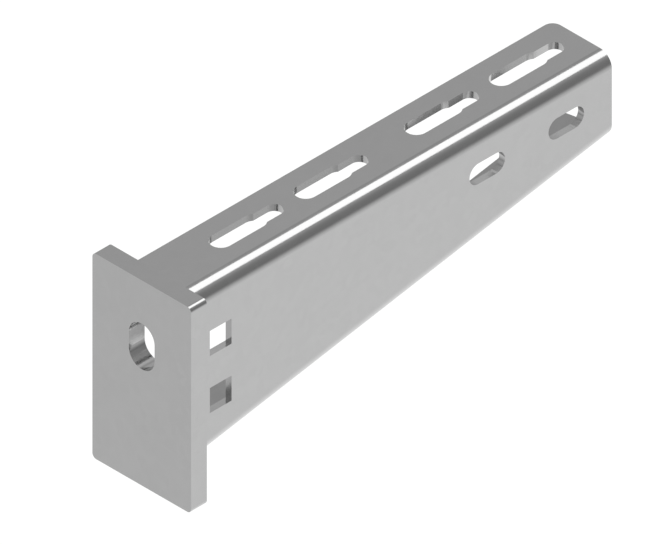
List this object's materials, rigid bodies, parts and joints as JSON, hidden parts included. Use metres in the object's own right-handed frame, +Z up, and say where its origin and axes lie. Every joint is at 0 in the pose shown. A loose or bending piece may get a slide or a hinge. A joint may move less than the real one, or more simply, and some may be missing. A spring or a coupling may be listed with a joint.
{
  "type": "cantilever strut arm",
  "caption": "Cantilever bracket arm: a tapered folded channel with keyhole-slotted top, welded to an upright head plate with an oblong bolt slot.",
  "frame": {"origin": "middle of the head plate's wall face", "axes": "+X out along the arm, away from the wall; +Z up; the web is on the -Y side and the channel opens to +Y"},
  "size_m": [0.223, 0.05, 0.09],
  "materials": {
    "galvanised_steel": "smooth satin zinc",
    "weld_metal": "as welded, under zinc"
  },
  "bodies": {
    "root": {"head_plate": "galvanised_steel", "arm_channel": "galvanised_steel", "weld_seam": "weld_metal"}
  },
  "joints": []
}
